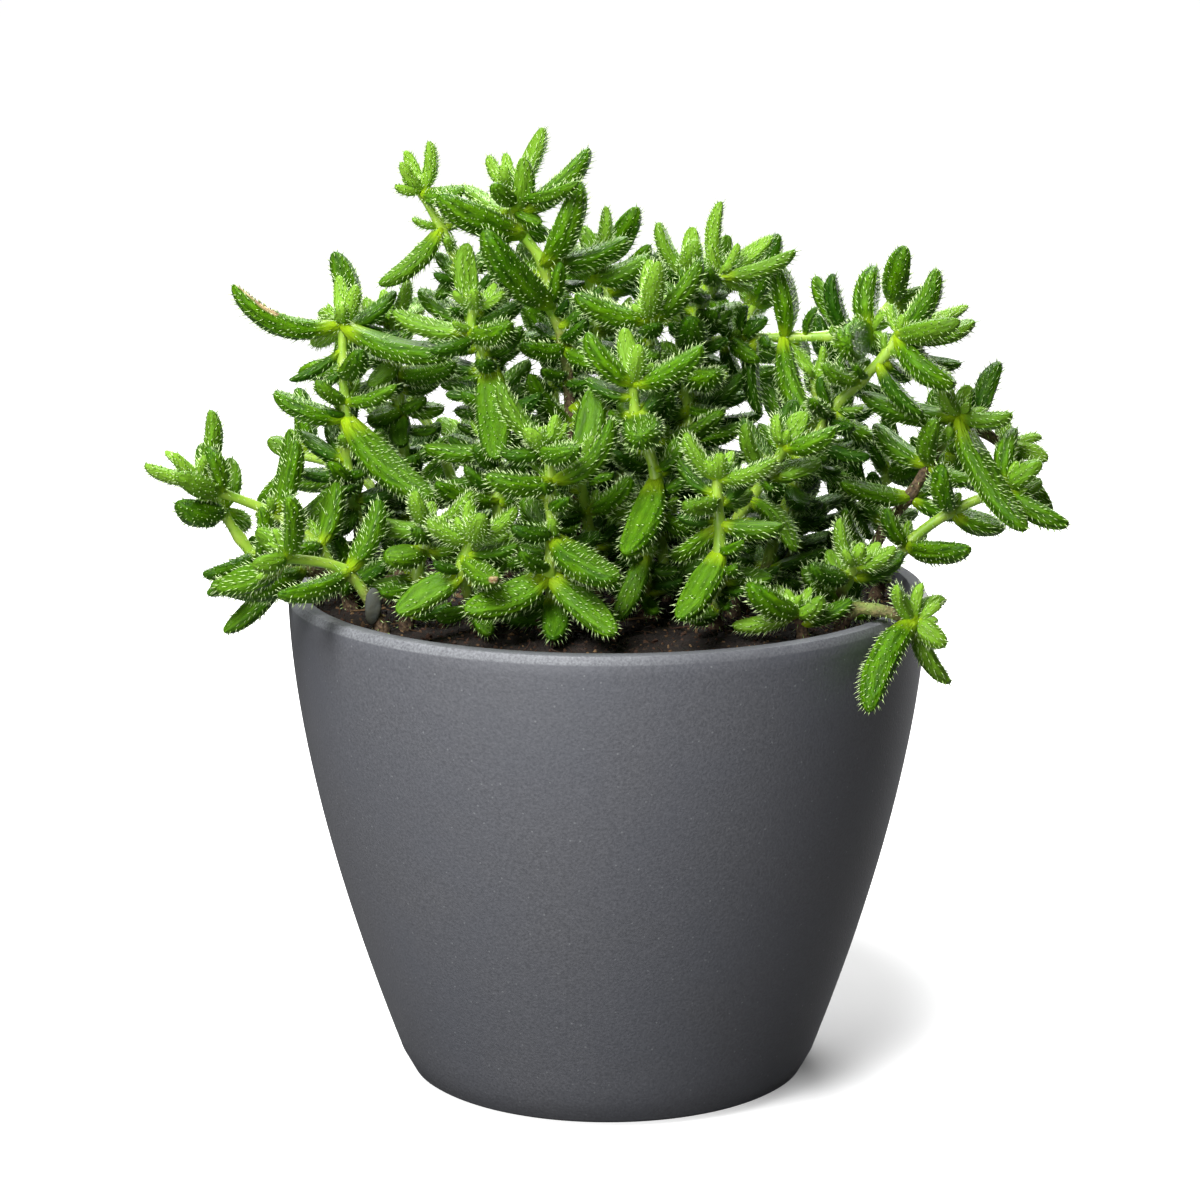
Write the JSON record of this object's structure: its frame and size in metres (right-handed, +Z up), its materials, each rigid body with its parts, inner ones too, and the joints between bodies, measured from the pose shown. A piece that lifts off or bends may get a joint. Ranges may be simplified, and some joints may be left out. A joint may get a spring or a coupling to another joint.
{
  "type": "potted pickle plant",
  "caption": "Bushy trailing succulent with plump, bristly finger leaves, rooted in soil in a plain tapered round planter.",
  "frame": {"origin": "centre of the planter's flat underside, which stands on the surface", "axes": "+Z up along the planter's axis, -Y towards the plant's best side, +X to its right as seen from there"},
  "size_m": [0.1999, 0.1672, 0.2098],
  "materials": {
    "planter": "matte",
    "soil": "matte",
    "leaf": "satin",
    "bristle": "satin",
    "stem": "matte"
  },
  "bodies": {
    "root": {"pot": "planter", "soil": "soil", "arch_right": "leaf", "back_1": "leaf", "back_2": "leaf", "back_3": "leaf", "back_4": "leaf", "back_5": "leaf", "back_6": "leaf", "back_7": "leaf", "back_8": "leaf", "back_9": "leaf", "crown": "leaf", "crown_right": "leaf", "front_left": "leaf", "front_low": "leaf", "front_mid": "leaf", "front_right": "leaf", "front_top": "leaf", "inner_right": "leaf", "left_behind": "leaf", "left_front_low": "leaf", "left_mid": "leaf", "low_left": "leaf", "lower_right": "leaf", "mid_right": "leaf", "middle": "leaf", "on_soil_right": "leaf", "over_rim": "leaf", "right_low": "leaf", "right_mid": "leaf", "runner_left": "leaf", "side_left": "leaf", "side_right": "leaf", "tall_left": "leaf", "top_left": "leaf", "top_right": "leaf", "top_right_behind": "leaf", "upper_right": "leaf"}
  },
  "joints": []
}
